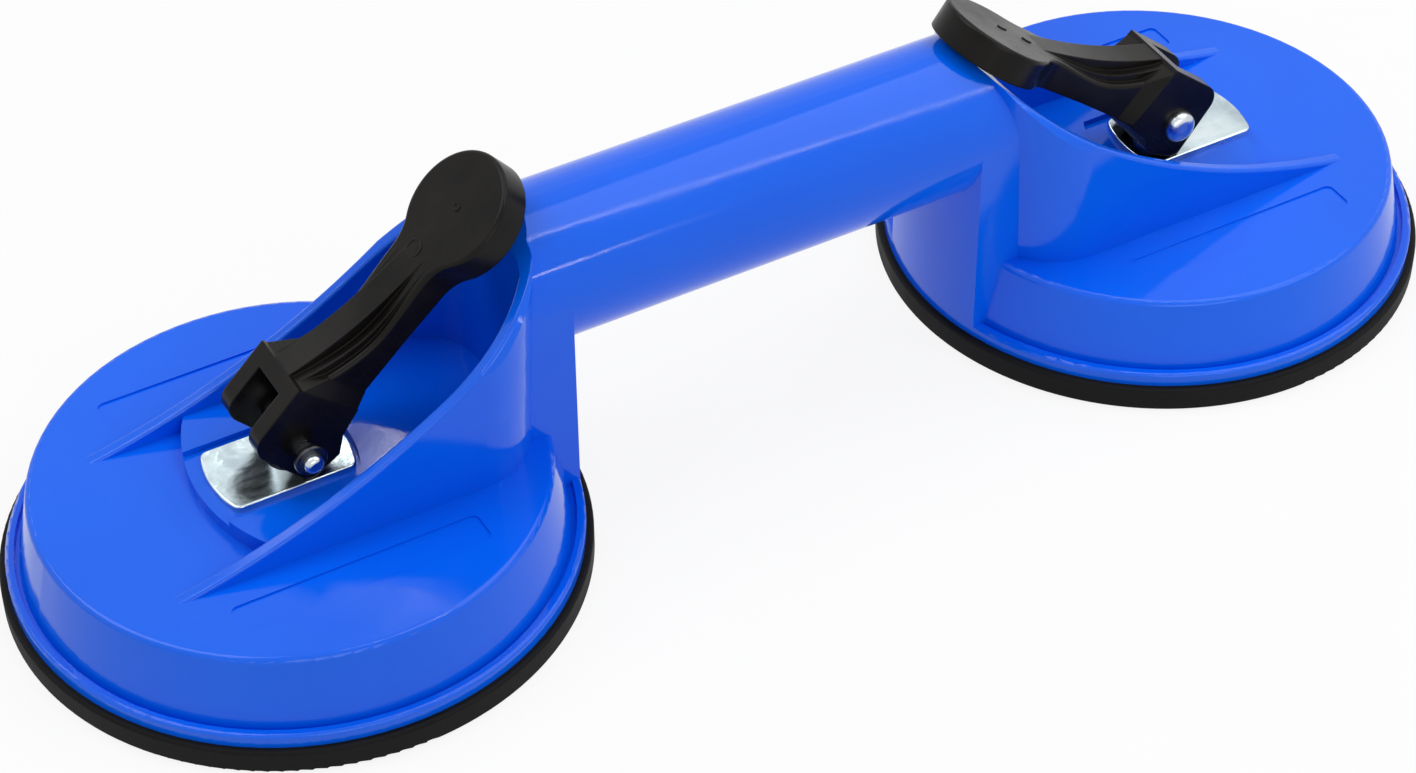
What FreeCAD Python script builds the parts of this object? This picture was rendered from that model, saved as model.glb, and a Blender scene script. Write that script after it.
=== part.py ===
import FreeCAD, Part
import math
import os

# Twin-pad suction lifter for floor tiles and glass, in millimetres.
# Origin: on the ground under the middle of the grip.  +X runs along the grip, +Z is up.
# One suction unit is drawn about its own stud axis, with +X pointing away from the grip.
# It is then set out twice, the second time turned half round.

os.makedirs("parts", exist_ok=True)

# ---------------------------------------------------------------- driving dimensions
# Whole lifter
pad_radius = 59.0             # rubber pad, 118 mm across
stud_spacing = 204.0          # between the two stud axes
running_gap = 0.05            # radial gap of a turning or sliding fit
loose_gap = 0.3               # gap round pieces that only lie near each other

# Grip and posts
grip_radius = 16.2
grip_axis_height = 53.0
shell_wall = 2.8              # moulded wall of the grip, posts and cups

# Rubber pad
flange_thickness = 5.4        # pad edge, pressed by the housing's rim
flange_inner_radius = 50.0
web_top = 4.4
dish_height = 1.2             # underside stands this far off the ground inside the seal band
seal_inner_radius = 47.0
pad_edge_round = 0.7
hub_wall_draft = 1.5
hub_radius = 26.0
hub_top = 8.2

# Steel backing disc and pull stud
disc_radius = 22.0
disc_thickness = 3.0
disc_seat = 3.4               # floor of the pad's pocket
disc_chamfer = 0.6
spigot_radius = 4.0
collar_radius = 8.0
collar_height = 4.0
collar_round = 1.2
stud_radius = 4.2

# Cup of the housing
rim_radius = 57.5
rim_inner_radius = 52.0
rim_bead_height = 3.0
groove_radius = 54.9          # foot of the cup's sloping wall
groove_width = 0.8
groove_depth = 1.1
deck_radius = 51.6            # flat top of the cup
deck_height = 22.9
deck_thickness = 2.9
deck_edge_round = 1.3
bead_round = 0.8
boss_radius = 9.0             # guides the stud under the deck
boss_length = 5.0
rib_count = 8
rib_thickness = 2.0
rib_depth = 5.5

# Cheeks either side of the lever: a scoop that runs up into the end of the grip
cheek_foot_half = 23.8        # outside, at the deck
cheek_top_half = 22.9         # outside, at the height of the grip's top
cheek_inner_half = 20.8
cheek_tip = 33.6              # where the cheeks run out on the deck
scoop_corner_y = 7.4          # centres of the scoop's back corners; they lean back as they rise
scoop_foot_x = -30.8
scoop_head_x = -34.2
cavity_foot_x = -31.5
cavity_head_x = -33.8
scoop_back_wall = 3.0
scoop_crown_below = 23.2      # the scoop's arched outline starts this far under the grip's top
rim_arc_mid = (-10.0, 38.0)   # the cheeks' edge is one arc through this point
rim_arc_top_x = -52.0         # and through the grip's top here
cheek_edge_round = 0.7

# Raised floor between the cheeks, and the channel for the wear plate
floor_rise = 3.8
floor_front_x = 19.3
floor_front_radius = 40.0
channel_half = 11.2
channel_depth = 1.2
channel_back_x = -13.0

# Label recesses on the deck
recess_half_length = 26.0
recess_inner_y = 29.2
recess_width = 7.4
recess_depth = 0.4
recess_corner = 1.5

# Wear plate
plate_half_width = 9.1
plate_length = 28.8
plate_thickness = 1.5
plate_end_radius = 24.0
plate_corner_round = 2.0
plate_edge_round = 0.4
plate_rest_right = 6.9        # plate's middle ahead of the stud, as it lies
plate_rest_left = 2.3
plate_slot_gap = 0.4

# Lever, drawn as it lies folded in over the grip, about the pivot
lever_half_width = 8.5
slot_half_width = 4.5
slot_back = -5.2
slot_roof_offset = 7.0        # room over the stud when the lever is locked down
cam_low = 8.0                 # pivot to the heel that rides on the plate when folded in
cam_high = 10.4               # pivot to the flat that locks the lever
lock_turn = 138.0             # turn from folded in to locked; it lifts the stud 2.9
cam_corner_radius = 4.0
cam_corner_shift = 1.2
cam_flank_angle = -40.0
cam_contact_gap = 0.11        # leaves the heel free at both rest turns
rest_turn_right = -2.0        # as stored, the right lever lies a little lower over the grip
rest_turn_left = 2.4          # and the left one a little higher
arm_half_width = 6.8
lower_rib_half = 5.2
upper_rib_half = 3.2
arm_blend = 11.0              # the arm's crests meet the paddle's face this far from its centre
neck_fillet = 9.0
paddle_edge_round = 0.8
paddle_radius = 12.4
paddle_thickness = 6.4
paddle_slope = 38.4
paddle_centre = (-40.2, 36.3)

# Pivot pin and its ring
pin_radius = 2.0
pin_head_radius = 3.6
pin_head_height = 2.2
pin_head_round = 1.8
pin_tip_round = 1.2
pin_tail = 5.9                # beyond the lever's side
ring_radius = 3.4
ring_width = 1.3
ring_inset = 2.0              # the ring sits this far in from the tail's tip
ring_round = 0.4

# ---------------------------------------------------------------- derived sizes
plate_seat = deck_height + floor_rise - channel_depth
floor_height = deck_height + floor_rise
plate_top = plate_seat + plate_thickness
pivot_height = plate_top + cam_low + cam_contact_gap
grip_top = grip_axis_height + grip_radius
deck_underside = deck_height - deck_thickness

X = FreeCAD.Vector(1, 0, 0)
Y = FreeCAD.Vector(0, 1, 0)
Z = FreeCAD.Vector(0, 0, 1)
ORIGIN = FreeCAD.Vector(0, 0, 0)


# ---------------------------------------------------------------- small helpers
def at(x, y, z):
    return FreeCAD.Vector(x, y, z)


def box(x0, x1, y0, y1, z0, z1):
    return Part.makeBox(x1 - x0, y1 - y0, z1 - z0, at(x0, y0, z0))


def upright(radius, z0, z1, x=0.0, y=0.0):
    return Part.makeCylinder(radius, z1 - z0, at(x, y, z0), Z)


def crosswise(radius, y0, y1, x, z):
    return Part.makeCylinder(radius, y1 - y0, at(x, y0, z), Y)


def revolved(outline):
    """Solid of revolution about Z from (radius, height) points."""
    points = [at(r, 0, z) for r, z in outline]
    face = Part.Face(Part.makePolygon(points + points[:1]))
    return face.revolve(ORIGIN, Z, 360)


def line(a, b):
    return Part.LineSegment(a, b).toShape()


def arc(a, b, c):
    return Part.Arc(a, b, c).toShape()


def side_prism(edges, half_width):
    """Prism across Y from edges drawn in the XZ plane."""
    face = Part.Face(Part.Wire(edges))
    face.translate(at(0, -half_width, 0))
    return face.extrude(at(0, 2 * half_width, 0))


def side_polygon(points, half_width):
    corners = [at(x, 0, z) for x, z in points]
    edges = [line(a, b) for a, b in zip(corners, corners[1:] + corners[:1])]
    return side_prism(edges, half_width)


def round_edges(solid, radius, chosen):
    edges = [edge for edge in solid.Edges if chosen(edge)]
    return solid.makeFillet(radius, edges)


def flat_ring_edge(radius, height):
    """Picks the full circle of this radius at this height."""
    def chosen(edge):
        curve = edge.Curve
        if not isinstance(curve, Part.Circle):
            return False
        return abs(curve.Radius - radius) < 1e-3 and abs(curve.Center.z - height) < 1e-3
    return chosen


def is_upright(edge):
    return abs(edge.tangentAt(edge.FirstParameter).z) > 0.99


# ---------------------------------------------------------------- rubber pad
def rubber_pad():
    outline = [
        (0, dish_height),
        (seal_inner_radius - dish_height, dish_height),
        (seal_inner_radius, 0),
        (pad_radius, 0),
        (pad_radius, flange_thickness),
        (flange_inner_radius, flange_thickness),
        (flange_inner_radius - 1.0, web_top),
        (hub_radius + hub_wall_draft, web_top),
        (hub_radius, hub_top),
        (disc_radius + loose_gap, hub_top),
        (disc_radius + loose_gap, disc_seat),
        (0, disc_seat),
    ]
    pad = revolved(outline)
    pad = round_edges(pad, pad_edge_round, flat_ring_edge(pad_radius, 0))
    return round_edges(pad, pad_edge_round, flat_ring_edge(pad_radius, flange_thickness))


# ---------------------------------------------------------------- backing disc and stud
def backing_disc():
    disc_top = disc_seat + disc_thickness
    disc = upright(disc_radius, disc_seat, disc_top)
    upper_edge = flat_ring_edge(disc_radius, disc_top)
    disc = disc.makeChamfer(disc_chamfer, [edge for edge in disc.Edges if upper_edge(edge)])
    return disc.cut(upright(spigot_radius + running_gap, disc_seat, disc_top))


def pull_stud():
    disc_top = disc_seat + disc_thickness
    spigot = upright(spigot_radius, disc_seat, disc_top)
    collar = upright(collar_radius, disc_top, disc_top + collar_height)
    collar = round_edges(collar, collar_round, flat_ring_edge(collar_radius, disc_top + collar_height))
    stem = upright(stud_radius, disc_top, pivot_height)
    eye = Part.makeSphere(stud_radius, at(0, 0, pivot_height))
    stud = spigot.fuse([collar, stem, eye])
    pin_hole = crosswise(pin_radius + running_gap, -2 * stud_radius, 2 * stud_radius, 0, pivot_height)
    return stud.cut(pin_hole).removeSplitter()


# ---------------------------------------------------------------- housing
def cup_shell():
    rim_foot = flange_thickness
    bead_top = rim_foot + rim_bead_height
    groove_floor = bead_top - groove_depth
    wall_inside = deck_radius - shell_wall
    outside = revolved([
        (0, rim_foot),
        (rim_radius, rim_foot),
        (rim_radius, bead_top),
        (groove_radius + groove_width, bead_top),
        (groove_radius + groove_width, groove_floor),
        (groove_radius, groove_floor),
        (deck_radius, deck_height),
        (0, deck_height),
    ])
    outside = round_edges(outside, deck_edge_round, flat_ring_edge(deck_radius, deck_height))
    outside = round_edges(outside, bead_round, flat_ring_edge(rim_radius, bead_top))
    hollow = revolved([
        (0, rim_foot),
        (rim_inner_radius, rim_foot),
        (wall_inside, deck_underside),
        (0, deck_underside),
    ])
    return outside, hollow


def scoop_plan(z0, half0, corner0, z1, half1, corner1):
    """Upright scoop with rounded back corners, lofted from z0 up to z1; the corners lean back."""
    front = cheek_tip + 10.0
    wires = []
    for z, half, corner_x in ((z0, half0, corner0), (z1, half1, corner1)):
        radius = half - scoop_corner_y
        back = corner_x - radius
        turn = radius * math.sqrt(0.5)
        y = scoop_corner_y
        corners = [
            line(at(front, -half, z), at(corner_x, -half, z)),
            arc(at(corner_x, -half, z), at(corner_x - turn, -y - turn, z), at(back, -y, z)),
            line(at(back, -y, z), at(back, y, z)),
            arc(at(back, y, z), at(corner_x - turn, y + turn, z), at(corner_x, half, z)),
            line(at(corner_x, half, z), at(front, half, z)),
            line(at(front, half, z), at(front, -half, z)),
        ]
        wires.append(Part.Wire(corners))
    return Part.makeLoft(wires, True, True)


def crown(half_width, rise):
    """Arched bar along X that rounds off the top of the scoop."""
    base = grip_top - scoop_crown_below
    span = cheek_tip - rim_arc_top_x + 40.0
    start = rim_arc_top_x - 20.0
    if half_width > rise:
        ellipse = Part.Ellipse(at(0, half_width, base), at(0, 0, base + rise), at(0, 0, base))
    else:
        ellipse = Part.Ellipse(at(0, 0, base + rise), at(0, half_width, base), at(0, 0, base))
    face = Part.Face(Part.Wire(ellipse.toShape()))
    face.translate(at(start, 0, 0))
    arch = face.extrude(at(span, 0, 0))
    return arch.fuse(box(start, start + span, -half_width - 5, half_width + 5, 0, base)).removeSplitter()


def cheek_edge_circle():
    """Centre and radius of the arc that the cheeks' edge follows."""
    foot = at(cheek_tip, 0, deck_height)
    middle = at(rim_arc_mid[0], 0, rim_arc_mid[1])
    head = at(rim_arc_top_x, 0, grip_top)
    curve = Part.Arc(foot, middle, head).toShape().Curve
    return curve.Center, curve.Radius


def above_cheek_edge():
    """Everything above the cheeks' edge; the arc runs on, under the deck, past the tips."""
    centre, radius = cheek_edge_circle()
    reach = cheek_foot_half + 5.0
    tool = crosswise(radius, -reach, reach, centre.x, centre.z)
    return tool.common(box(rim_arc_top_x, cheek_tip + 12.0, -reach, reach, 0, grip_top + 5.0))


def on_cheek_edge(edge):
    """Picks the long edges of the cheeks' land, inside and outside."""
    centre, radius = cheek_edge_circle()
    middle = edge.valueAt((edge.FirstParameter + edge.LastParameter) / 2)
    points = [edge.valueAt(edge.FirstParameter), middle, edge.valueAt(edge.LastParameter)]
    on_arc = all(abs(math.hypot(p.x - centre.x, p.z - centre.z) - radius) < 1e-3 for p in points)
    reach = max(abs(p.y) for p in points)
    return on_arc and reach > cheek_inner_half - 0.1 and edge.BoundBox.XLength > 5.0


def label_recess(side):
    outer_y = recess_inner_y + recess_width
    floor = deck_height - recess_depth
    pocket = box(-recess_half_length, recess_half_length, recess_inner_y, outer_y, floor, deck_height)
    pocket = round_edges(pocket, recess_corner, is_upright)
    if side < 0:
        pocket.rotate(ORIGIN, Z, 180)
    return pocket


def housing_half():
    """One cup, its scoop and post, and the grip as far as the middle."""
    middle = -stud_spacing / 2
    shell, hollow = cup_shell()

    ceiling = grip_top + 1.0
    outer_foot = (deck_underside, cheek_foot_half, scoop_foot_x)
    outer_head = (ceiling, cheek_top_half, scoop_head_x)
    outer = scoop_plan(*outer_foot, *outer_head).common(crown(cheek_foot_half, scoop_crown_below))
    inner_foot = (floor_height, cheek_inner_half, cavity_foot_x)
    inner_head = (ceiling, cheek_inner_half, cavity_head_x)
    inner = scoop_plan(*inner_foot, *inner_head)
    inner = inner.common(crown(cheek_inner_half, scoop_crown_below - scoop_back_wall))

    post = upright(rim_radius, flange_thickness, grip_axis_height)
    post = post.common(box(-rim_radius, scoop_head_x, -grip_radius, grip_radius, 0, grip_axis_height))
    grip = Part.makeCylinder(grip_radius, scoop_head_x - middle, at(middle, 0, grip_axis_height), X)

    # Space between the cheeks: a raised floor with a rounded front, and the plate's channel.
    front_arc = upright(floor_front_radius, deck_height, floor_height, floor_front_x - floor_front_radius)
    ahead = box(0, cheek_tip + 15, -cheek_inner_half, cheek_inner_half, deck_height, floor_height)
    channel = box(0, cheek_tip, -channel_half, channel_half, plate_seat, floor_height)
    behind = box(channel_back_x, 0, -channel_half, channel_half, plate_seat, floor_height)
    channel_end = upright(plate_end_radius, plate_seat, floor_height, channel_back_x + plate_end_radius)
    channel = channel.fuse(behind.common(channel_end))
    upper = outer.fuse([post, grip])
    upper = upper.cut([above_cheek_edge(), inner, ahead.cut(front_arc)]).removeSplitter()
    upper = round_edges(upper, cheek_edge_round, on_cheek_edge)
    body = shell.fuse([upper]).cut(channel)

    # Hollow post and grip, open to the underside of the cup.
    bore_end = rim_arc_top_x - 1.0
    bore = Part.makeCylinder(grip_radius - shell_wall, bore_end - middle, at(middle, 0, grip_axis_height), X)
    shaft_front = cavity_head_x - (cheek_inner_half - scoop_corner_y) - scoop_back_wall
    shaft_half = grip_radius - shell_wall
    shaft = box(-rim_radius, shaft_front, -shaft_half, shaft_half, flange_thickness, grip_axis_height)
    shaft = shaft.common(upright(rim_radius - shell_wall, flange_thickness, grip_axis_height))
    body = body.cut([hollow, shaft, bore])

    # Stud guide and ribs under the deck.
    boss = upright(boss_radius, deck_underside - boss_length, deck_underside + 1)
    rib_reach = (rim_inner_radius + deck_radius - shell_wall) / 2 - 1.0
    rib_foot = deck_underside - rib_depth
    rib_head = deck_underside + 0.5
    ribs = []
    for index in range(rib_count):
        rib = box(0, rib_reach, -rib_thickness / 2, rib_thickness / 2, rib_foot, rib_head)
        rib = rib.cut(upright(boss_radius - 1, rib_foot, rib_head))
        rib.rotate(ORIGIN, Z, 360.0 * (index + 0.5) / rib_count)
        ribs.append(rib)
    body = body.fuse([boss] + ribs)
    stud_bore = upright(stud_radius + loose_gap, 0, plate_seat + 1)
    recesses = [label_recess(side) for side in (1, -1)]
    return body.cut([stud_bore] + recesses).removeSplitter()


def housing():
    right = set_out(housing_half(), 1)
    left = set_out(housing_half(), -1)
    return right.fuse(left).removeSplitter()


# ---------------------------------------------------------------- wear plate
def wear_plate(rest):
    half_length = plate_length / 2
    sagitta = plate_end_radius - math.sqrt(plate_end_radius ** 2 - plate_half_width ** 2)
    end = half_length - sagitta
    w = plate_half_width
    edges = [
        line(at(-end, -w, 0), at(end, -w, 0)),
        arc(at(end, -w, 0), at(half_length, 0, 0), at(end, w, 0)),
        line(at(end, w, 0), at(-end, w, 0)),
        arc(at(-end, w, 0), at(-half_length, 0, 0), at(-end, -w, 0)),
    ]
    plate = Part.Face(Part.Wire(edges)).extrude(at(0, 0, plate_thickness))
    plate = round_edges(plate, plate_corner_round, is_upright)
    top = [e for e in plate.Edges if min(v.Z for v in e.Vertexes) > plate_thickness - 1e-3]
    plate = plate.makeFillet(plate_edge_round, top)
    slot_radius = stud_radius + plate_slot_gap
    slot_ends = (-plate_rest_right, -plate_rest_left)
    slot = box(slot_ends[0], slot_ends[1], -slot_radius, slot_radius, 0, plate_thickness)
    for x in slot_ends:
        slot = slot.fuse(upright(slot_radius, 0, plate_thickness, x))
    plate = plate.cut(slot).removeSplitter()
    plate.translate(at(rest, 0, plate_seat))
    return plate


# ---------------------------------------------------------------- lever
def polar(distance, degrees):
    return (distance * math.cos(math.radians(degrees)), distance * math.sin(math.radians(degrees)))


def lever_block():
    """Clevis block whose outline is the cam, pivot at the origin."""
    lock_angle = lock_turn - 90.0
    n = polar(1.0, lock_angle)
    t = polar(1.0, lock_angle - 90.0)
    reach = cam_high - cam_corner_radius
    corner = (reach * n[0] + cam_corner_shift * t[0], reach * n[1] + cam_corner_shift * t[1])
    f = polar(1.0, cam_flank_angle)
    flank = corner[0] * f[0] + corner[1] * f[1] + cam_corner_radius
    heel_x = (flank + cam_low * f[1]) / f[0]

    def on_corner(degrees):
        p = polar(cam_corner_radius, degrees)
        return at(corner[0] + p[0], 0, corner[1] + p[1])

    shoulder_x = -1.0
    shoulder_z = (cam_high - shoulder_x * n[0]) / n[1]
    shoulder = at(shoulder_x, 0, shoulder_z)
    heel = at(heel_x, 0, -cam_low)
    path = [
        shoulder,
        at(-12.2, 0, 4.4),
        at(-8.4, 0, -0.4),
        at(-7.1, 0, -4.8),
        at(-1.6, 0, -cam_low),
        heel,
        on_corner(cam_flank_angle),
    ]
    edges = [line(a, b) for a, b in zip(path, path[1:])]
    halfway = (cam_flank_angle + lock_angle) / 2
    edges.append(arc(on_corner(cam_flank_angle), on_corner(halfway), on_corner(lock_angle)))
    edges.append(line(on_corner(lock_angle), shoulder))
    return side_prism(edges, lever_half_width)


def lever_shoulder():
    """Short taper from the full-width block to the arm."""
    wires = []
    for half_width, top, bottom in (
        (lever_half_width, (-0.9, 14.2), (-12.0, 4.6)),
        (arm_half_width, (-7.8, 13.4), (-14.8, 6.6)),
    ):
        corners = [
            at(top[0], -half_width, top[1]),
            at(bottom[0], -half_width, bottom[1]),
            at(bottom[0], half_width, bottom[1]),
            at(top[0], half_width, top[1]),
        ]
        wires.append(Part.makePolygon(corners + corners[:1]))
    return Part.makeLoft(wires, True, True)


def on_paddle(along, below):
    """Point on the paddle's middle plane: distance from its centre towards the pivot, and depth."""
    turn = math.radians(paddle_slope)
    x = paddle_centre[0] + along * math.cos(turn) - below * math.sin(turn)
    z = paddle_centre[1] - along * math.sin(turn) - below * math.cos(turn)
    return at(x, 0, z)


def crest(points):
    curve = Part.BSplineCurve()
    curve.interpolate([at(x, 0, z) for x, z in points])
    return curve.toShape()


def crest_end():
    """Where the arm's crests run out, flush with the paddle's face."""
    end = on_paddle(arm_blend, 0)
    return (end.x, end.z)


def paddle_plan():
    """Disc with its concave neck, as an upright prism about the paddle's centre."""
    fillet_y = arm_half_width + neck_fillet
    fillet_x = math.sqrt((paddle_radius + neck_fillet) ** 2 - fillet_y ** 2)
    share = paddle_radius / (paddle_radius + neck_fillet)
    touch = (fillet_x * share, fillet_y * share)
    lean = math.atan2(fillet_y, fillet_x) / 2 + math.pi / 4
    middle = (fillet_x - neck_fillet * math.cos(lean), fillet_y - neck_fillet * math.sin(lean))
    far = 4 * paddle_radius
    edges = [
        arc(at(touch[0], touch[1], 0), at(-paddle_radius, 0, 0), at(touch[0], -touch[1], 0)),
        arc(at(touch[0], -touch[1], 0), at(middle[0], -middle[1], 0), at(fillet_x, -arm_half_width, 0)),
        line(at(fillet_x, -arm_half_width, 0), at(far, -arm_half_width, 0)),
        line(at(far, -arm_half_width, 0), at(far, arm_half_width, 0)),
        line(at(far, arm_half_width, 0), at(fillet_x, arm_half_width, 0)),
        arc(at(fillet_x, arm_half_width, 0), at(middle[0], middle[1], 0), at(touch[0], touch[1], 0)),
    ]
    prism = Part.Face(Part.Wire(edges)).extrude(at(0, 0, 8 * paddle_thickness))
    prism.translate(at(0, 0, -6 * paddle_thickness))
    prism.rotate(ORIGIN, Y, paddle_slope)
    prism.translate(at(paddle_centre[0], 0, paddle_centre[1]))
    return prism


def lever_body():
    """Paddle and arm as one piece: a side outline, trimmed by the plan of disc and neck."""
    past_rim = -paddle_radius - 2.0
    top = on_paddle(past_rim, 0)
    end = crest_end()
    root = (-3.6, 12.6)
    edges = [line(top, at(end[0], 0, end[1]))]
    edges.append(crest([end, (-24.0, 22.4), (-17.5, 16.9), (-10.5, 14.0), root]))
    path = [at(root[0], 0, root[1])]
    path += [at(-6.5, 0, 2.0), at(-12.2, 0, 4.6), at(-24.0, 0, 14.8)]
    path += [on_paddle(5.0, paddle_thickness), on_paddle(past_rim, paddle_thickness), top]
    edges += [line(a, b) for a, b in zip(path, path[1:])]
    body = side_prism(edges, 2 * paddle_radius).common(paddle_plan())
    upwards = on_paddle(0, -1) - on_paddle(0, 0)

    def paddle_rim(edge):
        height = (edge.CenterOfMass - on_paddle(0, 0)).dot(upwards)
        return isinstance(edge.Curve, Part.Circle) and abs(height) < 1e-3

    return round_edges(body, paddle_edge_round, paddle_rim)


def lever_ribs():
    """Two ribs along the arm's back; the upper one is the narrower."""
    end = crest_end()
    ribs = []
    outlines = (
        (lower_rib_half, [end, (-24.0, 23.2), (-17.0, 18.2), (-9.5, 15.4), (-2.6, 14.0)]),
        (upper_rib_half, [end, (-25.0, 25.3), (-17.0, 20.8), (-8.0, 16.9), (-1.1, 14.7)]),
    )
    for half_width, points in outlines:
        root = at(points[-1][0], 0, points[-1][1])
        path = [root, at(-7.0, 0, 6.0), at(-24.0, 0, 18.0), at(end[0], 0, end[1])]
        edges = [crest(points)] + [line(a, b) for a, b in zip(path, path[1:])]
        ribs.append(side_prism(edges, half_width))
    return ribs


def lever(rest_turn):
    solid = lever_block()
    solid = solid.fuse([lever_shoulder(), lever_body()] + lever_ribs())
    n = polar(1.0, lock_turn - 90.0)
    roof_foot = (slot_back, (slot_roof_offset + slot_back * n[1]) / n[0])
    roof_end = (roof_foot[0] + 2 * cam_high * n[0], roof_foot[1] + 2 * cam_high * n[1])
    below = -2 * cam_low
    ahead = 2 * cam_high
    outline = [(slot_back, below), (ahead, below), (ahead, roof_end[1]), roof_end, roof_foot]
    slot = side_polygon(outline, slot_half_width)
    hole = crosswise(pin_radius + running_gap, -2 * lever_half_width, 2 * lever_half_width, 0, 0)
    solid = solid.cut([slot, hole]).removeSplitter()
    solid.rotate(ORIGIN, Y, rest_turn)
    solid.translate(at(0, 0, pivot_height))
    return solid


# ---------------------------------------------------------------- pivot pin and ring
def pivot_pin():
    """Headed pin: the head lies on the lever's -Y side."""
    head_face = -lever_half_width - running_gap
    tip = lever_half_width + pin_tail
    head_top = head_face - pin_head_height
    shank = crosswise(pin_radius, head_face, tip, 0, 0)
    shank = round_edges(shank, pin_tip_round, lambda edge: edge.BoundBox.YMin > tip - 1e-3)
    head = crosswise(pin_head_radius, head_top, head_face, 0, 0)
    head = round_edges(head, pin_head_round, lambda edge: edge.BoundBox.YMax < head_top + 1e-3)
    pin = shank.fuse(head).removeSplitter()
    pin.translate(at(0, 0, pivot_height))
    return pin


def retaining_ring():
    outer_face = lever_half_width + pin_tail - ring_inset
    inner_face = outer_face - ring_width
    ring = crosswise(ring_radius, inner_face, outer_face, 0, pivot_height)
    ring = round_edges(ring, ring_round, lambda edge: isinstance(edge.Curve, Part.Circle))
    return ring.cut(crosswise(pin_radius + running_gap, inner_face, outer_face, 0, pivot_height))


# ---------------------------------------------------------------- setting out
def set_out(shape, side):
    """Places a unit's piece at the right (+1) or left (-1) end of the grip."""
    placed = shape.copy()
    placed.translate(at(stud_spacing / 2, 0, 0))
    if side < 0:
        placed.rotate(ORIGIN, Z, 180)
    return placed


def save(name, shape):
    shape.exportStep(os.path.join("parts", name + ".step"))


save("housing", housing())
for side, label, plate_rest, rest_turn in (
    (1, "right", plate_rest_right, rest_turn_right),
    (-1, "left", plate_rest_left, rest_turn_left),
):
    pieces = {
        "rubber_pad": rubber_pad(),
        "backing_disc": backing_disc(),
        "pull_stud": pull_stud(),
        "wear_plate": wear_plate(plate_rest),
        "lever": lever(rest_turn),
        "pivot_pin": pivot_pin(),
        "retaining_ring": retaining_ring(),
    }
    for name, shape in pieces.items():
        save(name + "_" + label, set_out(shape, side))
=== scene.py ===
import math
import bpy
from mathutils import Matrix, Quaternion, Vector


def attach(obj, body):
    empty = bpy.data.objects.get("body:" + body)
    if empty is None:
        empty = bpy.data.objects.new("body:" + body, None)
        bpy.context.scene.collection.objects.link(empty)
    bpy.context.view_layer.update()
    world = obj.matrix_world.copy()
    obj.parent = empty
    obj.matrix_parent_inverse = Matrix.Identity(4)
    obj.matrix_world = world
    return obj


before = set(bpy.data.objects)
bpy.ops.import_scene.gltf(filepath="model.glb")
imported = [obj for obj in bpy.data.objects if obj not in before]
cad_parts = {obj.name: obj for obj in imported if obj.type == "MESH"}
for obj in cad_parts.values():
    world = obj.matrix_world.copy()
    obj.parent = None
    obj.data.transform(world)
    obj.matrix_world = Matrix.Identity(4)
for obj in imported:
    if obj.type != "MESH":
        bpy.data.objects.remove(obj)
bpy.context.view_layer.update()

bpy.ops.object.select_all(action="DESELECT")

# ------------------------------------------------------------------ housing
# One injection moulding in bright blue ABS: both cups, the two scoops with
# their cheeks, the posts and the round grip.  The mould was polished, so the
# skin is glossy, with the faint orange peel and handling scuffs of such tools.


def shader(name):
    """A new material on a node tree, with its Principled shader ready."""
    material = bpy.data.materials.new(name)
    material.use_nodes = True
    tree = material.node_tree
    principled = tree.nodes["Principled BSDF"]
    return material, tree, principled


def noise(tree, coordinates, scale, detail, roughness=0.5):
    node = tree.nodes.new("ShaderNodeTexNoise")
    node.inputs["Scale"].default_value = scale
    node.inputs["Detail"].default_value = detail
    node.inputs["Roughness"].default_value = roughness
    tree.links.new(coordinates, node.inputs["Vector"])
    return node.outputs["Fac"]


def ramp(tree, value, stops):
    node = tree.nodes.new("ShaderNodeValToRGB")
    elements = node.color_ramp.elements
    elements[0].position, elements[0].color = stops[0][0], (*stops[0][1], 1)
    elements[1].position, elements[1].color = stops[-1][0], (*stops[-1][1], 1)
    for position, colour in stops[1:-1]:
        elements.new(position).color = (*colour, 1)
    tree.links.new(value, node.inputs["Fac"])
    return node.outputs["Color"]


def spread(tree, value, low, high, start=0.3, end=0.7):
    """Maps a pattern's middle range to low..high."""
    node = tree.nodes.new("ShaderNodeMapRange")
    node.inputs["From Min"].default_value = start
    node.inputs["From Max"].default_value = end
    node.inputs["To Min"].default_value = low
    node.inputs["To Max"].default_value = high
    tree.links.new(value, node.inputs["Value"])
    return node.outputs["Result"]


def bump(tree, height, strength, distance, under=None):
    node = tree.nodes.new("ShaderNodeBump")
    node.inputs["Strength"].default_value = strength
    node.inputs["Distance"].default_value = distance
    tree.links.new(height, node.inputs["Height"])
    if under is not None:
        tree.links.new(under, node.inputs["Normal"])
    return node.outputs["Normal"]


def object_space(tree):
    return tree.nodes.new("ShaderNodeTexCoord").outputs["Object"]


def dress(nodes, material):
    """Gives each named node this one material."""
    for name in nodes:
        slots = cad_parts[name].data.materials
        slots.clear()
        slots.append(material)


blue, tree, skin = shader("Blue gloss ABS")
place = object_space(tree)
cloud = noise(tree, place, 14.0, 3.0)
deep_blue = [(0.35, (0.0003, 0.108, 0.790)), (0.65, (0.0006, 0.124, 0.860))]
tree.links.new(ramp(tree, cloud, deep_blue), skin.inputs["Base Color"])
smear = noise(tree, place, 60.0, 6.0, 0.62)
tree.links.new(spread(tree, smear, 0.05, 0.15, 0.35, 0.68), skin.inputs["Roughness"])
sink = noise(tree, place, 26.0, 2.0)
peel = noise(tree, place, 380.0, 2.0)
scuff = noise(tree, place, 1300.0, 3.0, 0.6)
relief = bump(tree, sink, 0.22, 0.0006)
relief = bump(tree, peel, 0.05, 0.0002, relief)
tree.links.new(bump(tree, scuff, 0.13, 0.0001, relief), skin.inputs["Normal"])
skin.inputs["IOR"].default_value = 1.53
skin.inputs["Specular IOR Level"].default_value = 0.26
dress(["housing"], blue)


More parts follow.
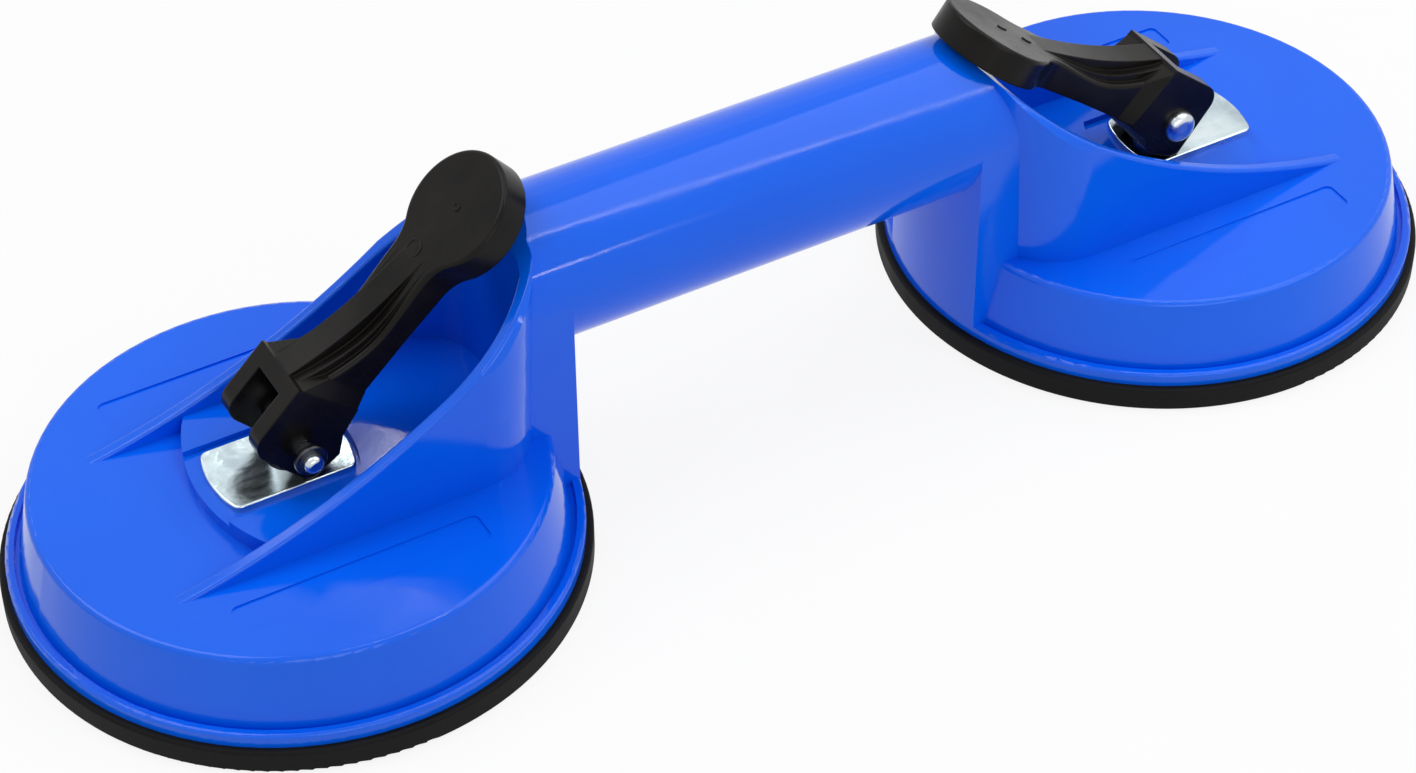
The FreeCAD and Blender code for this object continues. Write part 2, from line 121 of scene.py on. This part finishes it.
# ------------------------------------------------------------------ rubber pads
# Natural rubber cups, pressed in a hot mould, one under each cup's rim.
# Matte black with a dusty bloom, and fine pits from the mould.

rubber, tree, gum = shader("Black pad rubber")
place = object_space(tree)
bloom = noise(tree, place, 45.0, 6.0, 0.62)
dusty_black = [(0.3, (0.0035, 0.0035, 0.0040)), (0.72, (0.0100, 0.0100, 0.0100))]
tree.links.new(ramp(tree, bloom, dusty_black), gum.inputs["Base Color"])
tree.links.new(spread(tree, bloom, 0.50, 0.72), gum.inputs["Roughness"])
gum.inputs["Specular IOR Level"].default_value = 0.10
pits = noise(tree, place, 900.0, 3.0)
tree.links.new(bump(tree, pits, 0.3, 0.0002), gum.inputs["Normal"])
dress(["rubber_pad_left", "rubber_pad_right"], rubber)


# ------------------------------------------------------------------ steel inside
# Backing disc and pull stud: turned mild steel with a bright zinc plate.
# The plate is slightly cloudy, over a fine grain that the turning leaves.

zinc, tree, plating = shader("Bright zinc on turned steel")
place = object_space(tree)
cloud = noise(tree, place, 90.0, 5.0, 0.6)
cloudy_zinc = [(0.3, (0.52, 0.55, 0.57)), (0.7, (0.74, 0.77, 0.79))]
tree.links.new(ramp(tree, cloud, cloudy_zinc), plating.inputs["Base Color"])
tree.links.new(spread(tree, cloud, 0.22, 0.42), plating.inputs["Roughness"])
plating.inputs["Metallic"].default_value = 1.0
tree.links.new(bump(tree, noise(tree, place, 1400.0, 2.0), 0.15, 0.0001), plating.inputs["Normal"])
dress(["backing_disc_left", "backing_disc_right", "pull_stud_left", "pull_stud_right"], zinc)


# ------------------------------------------------------------------ wear plates
# Loose strips of zinc-plated sheet that the lever's cam rides on.
# Rolled stock: streaks run along it, and the plating is patchy where it rubs.

strip, tree, sheet = shader("Zinc-plated strip")
place = object_space(tree)
stretch = tree.nodes.new("ShaderNodeMapping")
stretch.inputs["Scale"].default_value = (0.25, 1.6, 1.0)
tree.links.new(place, stretch.inputs["Vector"])
streak = noise(tree, stretch.outputs["Vector"], 260.0, 6.0, 0.65)
patch = noise(tree, place, 120.0, 3.0)
tarnish = [(0.32, (0.42, 0.50, 0.55)), (0.5, (0.58, 0.69, 0.73)), (0.7, (0.70, 0.79, 0.82))]
tree.links.new(ramp(tree, patch, tarnish), sheet.inputs["Base Color"])
tree.links.new(spread(tree, streak, 0.12, 0.30), sheet.inputs["Roughness"])
sheet.inputs["Metallic"].default_value = 1.0
dish = bump(tree, patch, 0.35, 0.0006)
tree.links.new(bump(tree, streak, 0.12, 0.0001, dish), sheet.inputs["Normal"])
dress(["wear_plate_left", "wear_plate_right"], strip)


# ------------------------------------------------------------------ levers
# One black nylon moulding each: clevis block, fluted arm and thumb paddle.
# Satin gloss, patchy where the melt flowed, with gently rounded edges.

nylon, tree, black = shader("Black lever nylon")
place = object_space(tree)
flow = noise(tree, place, 70.0, 5.0, 0.6)
warm_black = [(0.3, (0.0034, 0.0028, 0.0024)), (0.72, (0.0085, 0.0071, 0.0062))]
tree.links.new(ramp(tree, flow, warm_black), black.inputs["Base Color"])
tree.links.new(spread(tree, flow, 0.20, 0.38), black.inputs["Roughness"])
black.inputs["Specular IOR Level"].default_value = 0.14
worn_edge = tree.nodes.new("ShaderNodeBevel")
worn_edge.samples = 6
worn_edge.inputs["Radius"].default_value = 0.00045
wave = bump(tree, noise(tree, place, 60.0, 2.0), 0.25, 0.0005, worn_edge.outputs["Normal"])
grain = noise(tree, place, 700.0, 3.0)
tree.links.new(bump(tree, grain, 0.08, 0.0001, wave), black.inputs["Normal"])
dress(["lever_left", "lever_right"], nylon)

pivot = Vector((0.102, 0, 0.03511))             # the right lever's pin axis
paddle_middle = Vector((-0.0402, 0, 0.0363))    # from the pivot, before the rest turn
paddle_slope = math.radians(38.4)
rest_turn = {"left": math.radians(2.4), "right": math.radians(-2.0)}
facing_out = 0.99           # least cosine between the outer face and its normal
mark_facets = 40
dimple_share = 0.9          # of a ring's rise
ring_edge_share = 0.25
dash_width = 0.00055
dash_thickness = 0.0005
dash_length = 0.0023
dash_bow = 0.0004
dash_edge = 0.00012


def paddle_point(side, along, across):
    """A place on a paddle's face, measured from its middle, and the face's normal."""
    toward = Vector((math.cos(paddle_slope), 0, -math.sin(paddle_slope)))
    normal = Vector((math.sin(paddle_slope), 0, math.cos(paddle_slope)))
    stand = Quaternion((0, 1, 0), rest_turn[side])
    spot = stand @ (paddle_middle + toward * along + Vector((0, across, 0))) + pivot
    normal = stand @ normal
    if side == "left":
        about = Quaternion((0, 0, 1), math.pi)
        spot = about @ spot
        normal = about @ normal
    return spot, normal


def outer_face(piece, normal):
    """Selects, in edit mode, only the face that looks out along the normal."""
    bpy.ops.object.mode_set(mode="OBJECT")
    for face in piece.data.polygons:
        face.select = face.normal.dot(normal) > facing_out
    for edge in piece.data.edges:
        edge.select = False
    for corner in piece.data.vertices:
        corner.select = False
    for face in piece.data.polygons:
        if face.select:
            for index in face.vertices:
                piece.data.vertices[index].select = True
    bpy.ops.object.mode_set(mode="EDIT")
    bpy.ops.mesh.select_mode(type="FACE")


def pressed_ring(name, side, along, across, radius, rise, width):
    """Round mark that an ejector or gate leaves: a low rim round a shallow dimple."""
    spot, normal = paddle_point(side, along, across)
    bpy.ops.mesh.primitive_cylinder_add(
        vertices=mark_facets, radius=radius, depth=2 * rise, location=spot)
    mark = bpy.context.object
    mark.name = name
    mark.rotation_mode = "QUATERNION"
    mark.rotation_quaternion = normal.to_track_quat("Z", "Y")
    bpy.ops.object.transform_apply(location=True, rotation=True, scale=True)
    outer_face(mark, normal)
    bpy.ops.mesh.inset(thickness=width)
    dip = -dimple_share * rise * normal
    bpy.ops.mesh.extrude_region_move(TRANSFORM_OT_translate={"value": dip})
    bpy.ops.mesh.inset(thickness=width)
    bpy.ops.object.mode_set(mode="OBJECT")
    soften = mark.modifiers.new("soft rim", "BEVEL")
    soften.width = ring_edge_share * rise
    soften.segments = 2
    bpy.ops.object.modifier_apply(modifier=soften.name)
    bpy.ops.object.shade_smooth_by_angle(angle=math.radians(40))
    mark.data.materials.append(nylon)
    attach(mark, "lever_" + side)
    bpy.ops.object.select_all(action="DESELECT")


def raised_dash(name, side, along, across, turn):
    """Short curved ridge that the mould leaves on a paddle."""
    spot, normal = paddle_point(side, along, across)
    bpy.ops.mesh.primitive_cube_add(size=1.0, location=(0, 0, 0))
    dash = bpy.context.object
    dash.name = name
    dash.scale = (dash_length, dash_width, dash_thickness)
    bpy.ops.object.transform_apply(location=False, rotation=False, scale=True)
    bpy.ops.object.mode_set(mode="EDIT")
    bpy.ops.mesh.select_all(action="SELECT")
    bpy.ops.mesh.subdivide(number_cuts=3)
    bpy.ops.object.mode_set(mode="OBJECT")
    for corner in dash.data.vertices:
        corner.co.y += dash_bow * (1 - (2 * corner.co.x / dash_length) ** 2)
    dash.rotation_mode = "QUATERNION"
    dash.rotation_quaternion = normal.to_track_quat("Z", "Y") @ Quaternion((0, 0, 1), turn)
    dash.location = spot
    bpy.ops.object.transform_apply(location=True, rotation=True, scale=True)
    soften = dash.modifiers.new("soft edges", "BEVEL")
    soften.width = dash_edge
    soften.segments = 2
    bpy.ops.object.modifier_apply(modifier=soften.name)
    bpy.ops.object.shade_smooth_by_angle(angle=math.radians(50))
    dash.data.materials.append(nylon)
    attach(dash, "lever_" + side)
    bpy.ops.object.select_all(action="DESELECT")


pressed_ring("gate_mark_left", "left", -0.0006, 0.0004, 0.0009, 0.00018, 0.00022)
pressed_ring("ejector_mark_left", "left", 0.0110, -0.0012, 0.0020, 0.00016, 0.00030)
raised_dash("mould_dash_right_back", "right", 0.0016, 0.0012, math.radians(75))
raised_dash("mould_dash_right_front", "right", 0.0075, -0.0010, math.radians(60))


# ------------------------------------------------------------------ pivot pins
# Headed steel pins, pushed through lever and stud from one side of the lever.
# Bright plate over a rolled dome, with a light haze.

plated, tree, bright = shader("Bright plated pin steel")
place = object_space(tree)
haze = noise(tree, place, 300.0, 4.0, 0.6)
pale_steel = [(0.3, (0.50, 0.55, 0.60)), (0.7, (0.68, 0.72, 0.76))]
tree.links.new(ramp(tree, haze, pale_steel), bright.inputs["Base Color"])
tree.links.new(spread(tree, haze, 0.16, 0.32), bright.inputs["Roughness"])
bright.inputs["Metallic"].default_value = 1.0
tree.links.new(bump(tree, haze, 0.10, 0.0001), bright.inputs["Normal"])
dress(["pivot_pin_left", "pivot_pin_right"], plated)


# ------------------------------------------------------------------ retaining rings
# Small push-on rings of blued spring steel that grip each pin's tail.
# Oil-blackened to a satin, and rubbed a little brighter in patches.

blued, tree, dark = shader("Oil-blackened spring steel")
place = object_space(tree)
rub = noise(tree, place, 420.0, 4.0, 0.6)
oil_black = [(0.35, (0.030, 0.032, 0.036)), (0.7, (0.095, 0.100, 0.110))]
tree.links.new(ramp(tree, rub, oil_black), dark.inputs["Base Color"])
tree.links.new(spread(tree, rub, 0.26, 0.44), dark.inputs["Roughness"])
dark.inputs["Metallic"].default_value = 1.0
tree.links.new(bump(tree, rub, 0.12, 0.0001), dark.inputs["Normal"])
dress(["retaining_ring_left", "retaining_ring_right"], blued)


# ------------------------------------------------------------------ studio
# A plain pale sweep of paper, three large soft lamps, a strip lamp and two small ones.
# Paper and surround look white to the eye and in metal, and the paper keeps the shadow.

sweep_size = 12.0
paper_gap = 0.00015         # under the pads, so that paper and rubber don't coincide
paper_glow = 0.87           # how much of the paper's look is its own white, the rest is lit
room_light = 0.40           # what the surround itself adds to the object's light
bpy.ops.mesh.primitive_plane_add(size=sweep_size, location=(0, 0, -paper_gap))
floor = bpy.context.object
floor.name = "studio floor"
paper, tree, white = shader("White paper sweep")
place = object_space(tree)
fibre = noise(tree, place, 30.0, 4.0)
paper_white = [(0.3, (0.80, 0.80, 0.80)), (0.7, (0.84, 0.84, 0.84))]
tree.links.new(ramp(tree, fibre, paper_white), white.inputs["Base Color"])
white.inputs["Roughness"].default_value = 0.9
white.inputs["Specular IOR Level"].default_value = 0.1


def seen_directly(tree):
    """1 for what the eye, a mirror or glass looks at, 0 for light that only falls on things."""
    rays = tree.nodes.new("ShaderNodeLightPath")
    total = rays.outputs["Is Camera Ray"]
    for kind in ("Is Glossy Ray", "Is Transmission Ray"):
        larger = tree.nodes.new("ShaderNodeMath")
        larger.operation = "MAXIMUM"
        tree.links.new(total, larger.inputs[0])
        tree.links.new(rays.outputs[kind], larger.inputs[1])
        total = larger.outputs[0]
    return total


glow = tree.nodes.new("ShaderNodeEmission")
glow.inputs["Color"].default_value = (1.0, 1.0, 1.0, 1.0)
share = tree.nodes.new("ShaderNodeMath")
share.operation = "MULTIPLY"
share.inputs[1].default_value = paper_glow
tree.links.new(seen_directly(tree), share.inputs[0])
lit = tree.nodes.new("ShaderNodeMixShader")
tree.links.new(share.outputs[0], lit.inputs["Fac"])
tree.links.new(white.outputs["BSDF"], lit.inputs[1])
tree.links.new(glow.outputs["Emission"], lit.inputs[2])
tree.links.new(lit.outputs["Shader"], tree.nodes["Material Output"].inputs["Surface"])
floor.data.materials.append(paper)

world = bpy.data.worlds.new("Studio surround")
world.use_nodes = True
bpy.context.scene.world = world
tree = world.node_tree
surround = tree.nodes["Background"]
surround.inputs["Color"].default_value = (1.0, 1.0, 1.0, 1.0)
surround.inputs["Strength"].default_value = room_light
backdrop = tree.nodes.new("ShaderNodeBackground")
backdrop.inputs["Color"].default_value = (1.0, 1.0, 1.0, 1.0)
backdrop.inputs["Strength"].default_value = 1.0
pick = tree.nodes.new("ShaderNodeMixShader")
tree.links.new(seen_directly(tree), pick.inputs["Fac"])
tree.links.new(surround.outputs["Background"], pick.inputs[1])
tree.links.new(backdrop.outputs["Background"], pick.inputs[2])
tree.links.new(pick.outputs["Shader"], tree.nodes["World Output"].inputs["Surface"])


def softbox(name, spot, aim, along, width, depth, power):
    """Rectangular soft lamp at a spot, facing its aim, with its width lying along a direction."""
    back = (Vector(spot) - Vector(aim)).normalized()
    wide = (Vector(along) - back * back.dot(Vector(along))).normalized()
    deep = back.cross(wide)
    bpy.ops.object.light_add(type="AREA", location=spot)
    lamp = bpy.context.object
    lamp.name = name
    lamp.data.shape = "RECTANGLE"
    lamp.data.size = width
    lamp.data.size_y = depth
    lamp.data.energy = power
    lamp.rotation_mode = "QUATERNION"
    lamp.rotation_quaternion = Matrix((wide, deep, back)).transposed().to_quaternion()


softbox("right softbox", (1.06, -0.21, 1.3), (1.06, -0.21, 0), (0.644, -0.765, 0), 1.8, 1.2, 10.5)
softbox("strip lamp", (0.60, -0.60, 1.3), (0.60, -0.60, 0), (0.644, -0.765, 0), 1.8, 0.030, 3.2)
softbox("back softbox", (-0.55, 0.55, 1.4), (0, 0, 0), (1, 1, 0), 1.0, 1.0, 8.6)
softbox("front fill", (-0.25, -1.5, 0.75), (0, 0, 0.03), (1, 0, 0), 1.0, 0.7, 5.0)
softbox(
    "small back lamp", (0.41, 1.08, 1.12), (-0.09, -0.04, 0.02), (1, -0.3, -0.45), 0.10, 0.03, 0.30)
softbox("small front lamp", (0.46, -1.33, 0.61), (-0.05, 0, 0.05), (1, 0, 0), 0.07, 0.05, 0.25)

camera_spot = Vector((-0.2818, -0.4902, 0.5048))
look_at = Vector((-0.00656, 0.00293, 0.0))
camera_roll = math.radians(-0.48)
bpy.ops.object.camera_add(location=camera_spot)
camera = bpy.context.object
camera.data.sensor_width = 36.0
camera.data.lens = 91.59
camera.rotation_mode = "QUATERNION"
aim = (look_at - camera_spot).to_track_quat("-Z", "Y")
camera.rotation_quaternion = aim @ Quaternion((0, 0, 1), camera_roll)
bpy.context.scene.camera = camera
bpy.context.scene.view_settings.view_transform = "Standard"
